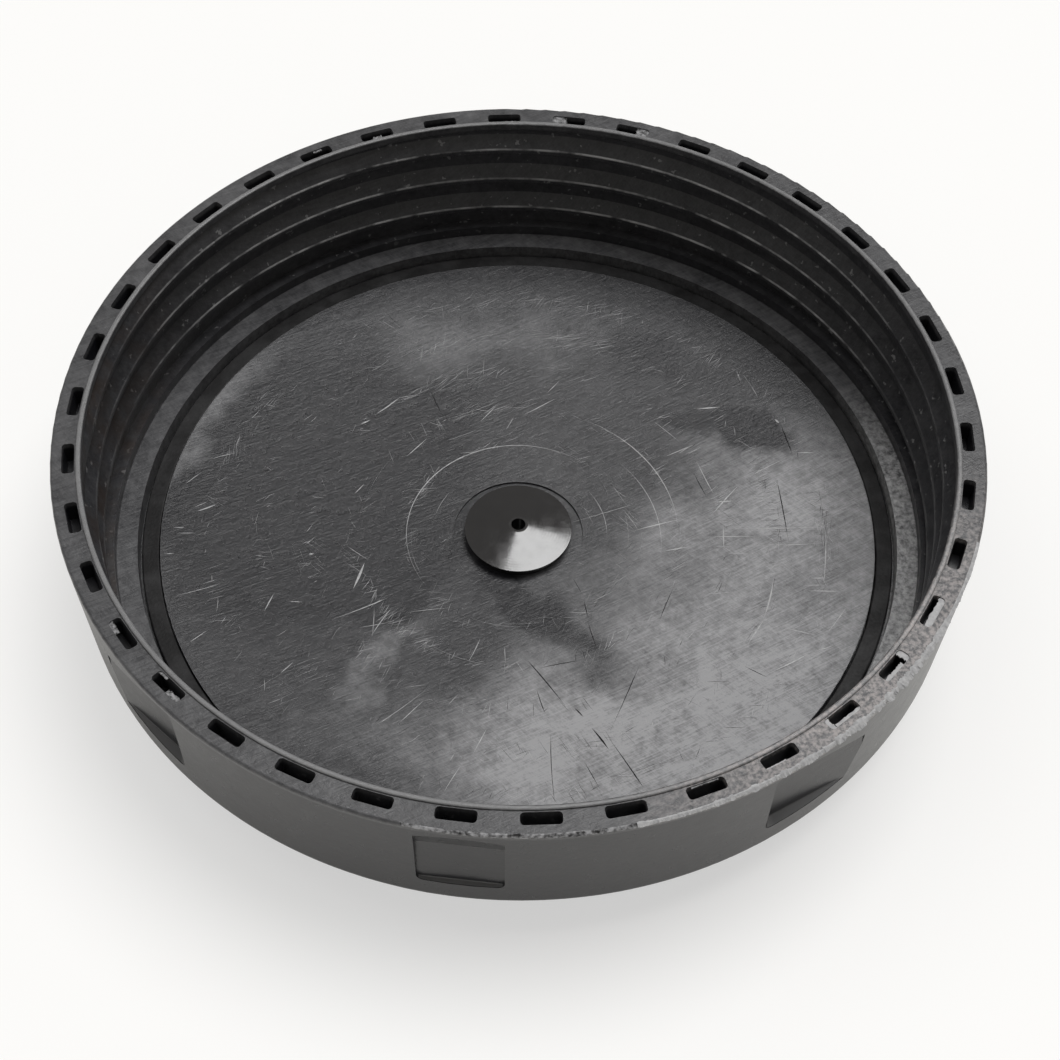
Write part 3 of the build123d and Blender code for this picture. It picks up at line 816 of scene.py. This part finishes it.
class TANKCAP_OT_stage(bpy.types.Operator):
    """Sets up the table, the light and the camera"""
    bl_idname = "tankcap.stage"
    bl_label = "Table, light and camera"

    TARGET = Vector((1.81, -22.29, RIM_Z)) * MM
    RIM_MIDDLE = Vector((0, 0, RIM_Z)) * MM
    DISTANCE = 304.3 * MM
    ELEVATION = math.radians(50.08)
    ROLL = math.radians(1.545)
    LENS = 63.905
    # Name, direction that it stands in, width in degrees, strength, whether plastic mirrors it
    LIGHTS = (
        ("soft_ceiling_light", (0.25, 0.25, 0.935), 38, 1.9, True),
        ("soft_side_light", (-0.42, 0.25, 0.87), 44, 0.5, False),
    )
    SKY_COLOUR = "#F8F5EF"
    SKY_STRENGTH = 0.3
    # In metres
    TABLE_RADIUS = 3.0

    def execute(self, context):
        self.floor(context)
        self.light(context)
        self.camera(context)
        return {"FINISHED"}

    def floor(self, context):
        mesh = bpy.data.meshes.new("table_top")
        shape = bmesh.new()
        bmesh.ops.create_circle(shape, cap_ends=True, segments=96, radius=self.TABLE_RADIUS)
        shape.to_mesh(mesh)
        shape.free()
        table = bpy.data.objects.new("table_top", mesh)
        context.scene.collection.objects.link(table)
        clothe(table, floor_material(context.scene.cap_colours))

    def light(self, context):
        for name, towards, width, strength, mirrored in self.LIGHTS:
            lamp = bpy.data.lights.new(name, "SUN")
            lamp.angle = math.radians(width)
            lamp.energy = strength
            sun = bpy.data.objects.new(name, lamp)
            sun.visible_glossy = mirrored
            sun.rotation_euler = Vector(towards).to_track_quat("Z", "Y").to_euler()
            context.scene.collection.objects.link(sun)
        world = bpy.data.worlds.new("plain_room")
        world.use_nodes = True
        tree = world.node_tree
        tree.nodes.clear()
        room = add(tree, "ShaderNodeBackground", {
            "Color": linear(self.SKY_COLOUR), "Strength": self.SKY_STRENGTH})
        # Past the table's edge the camera sees the same white as the table
        backdrop = add(tree, "ShaderNodeBackground", {
            "Color": context.scene.cap_colours.paper, "Strength": 1.0})
        path = add(tree, "ShaderNodeLightPath").node
        sight = add(tree, "ShaderNodeMixShader", {
            0: path.outputs["Is Camera Ray"], 1: room, 2: backdrop})
        add(tree, "ShaderNodeOutputWorld", {"Surface": sight})
        context.scene.world = world

    def camera(self, context):
        out = Vector((0, -math.cos(self.ELEVATION), math.sin(self.ELEVATION)))
        spot = self.RIM_MIDDLE + out * self.DISTANCE
        back = (spot - self.TARGET).normalized()
        right = Vector((0, 0, 1)).cross(back).normalized()
        up = back.cross(right)
        turn = Matrix((right, up, back)).transposed().to_4x4()
        place = Matrix.Translation(spot)
        data = bpy.data.cameras.new("camera")
        data.sensor_width = 36.0
        data.lens = self.LENS
        data.clip_start = 0.01
        eye = bpy.data.objects.new("camera", data)
        eye.matrix_world = place @ turn @ Matrix.Rotation(self.ROLL, 4, "Z")
        context.scene.collection.objects.link(eye)
        context.scene.camera = eye


class TANKCAP_PT_panel(bpy.types.Panel):
    """Lists the steps that dress the cap"""
    bl_label = "Tank cap"
    bl_idname = "TANKCAP_PT_panel"
    bl_space_type = "VIEW_3D"
    bl_region_type = "UI"
    bl_category = "Tank cap"

    def draw(self, context):
        for step in STEPS:
            self.layout.operator(step.bl_idname)
        for group in (context.scene.cap_colours, context.scene.cap_sizes):
            for name in group.__annotations__:
                self.layout.prop(group, name)


STEPS = (
    TANKCAP_OT_moulding, TANKCAP_OT_scratches, TANKCAP_OT_flash, TANKCAP_OT_rubber,
    TANKCAP_OT_stage)
CLASSES = (CapColours, CapSizes, *STEPS, TANKCAP_PT_panel)


def register():
    for cls in CLASSES:
        bpy.utils.register_class(cls)
    bpy.types.Scene.cap_colours = bpy.props.PointerProperty(type=CapColours)
    bpy.types.Scene.cap_sizes = bpy.props.PointerProperty(type=CapSizes)


def unregister():
    del bpy.types.Scene.cap_sizes
    del bpy.types.Scene.cap_colours
    for cls in reversed(CLASSES):
        bpy.utils.unregister_class(cls)


def main():
    register()
    bpy.ops.tankcap.moulding()
    bpy.ops.tankcap.scratches()
    bpy.ops.tankcap.flash()
    bpy.ops.tankcap.rubber()
    bpy.ops.tankcap.stage()
    bpy.context.scene.view_settings.view_transform = "Standard"


if __name__ == "__main__":
    main()
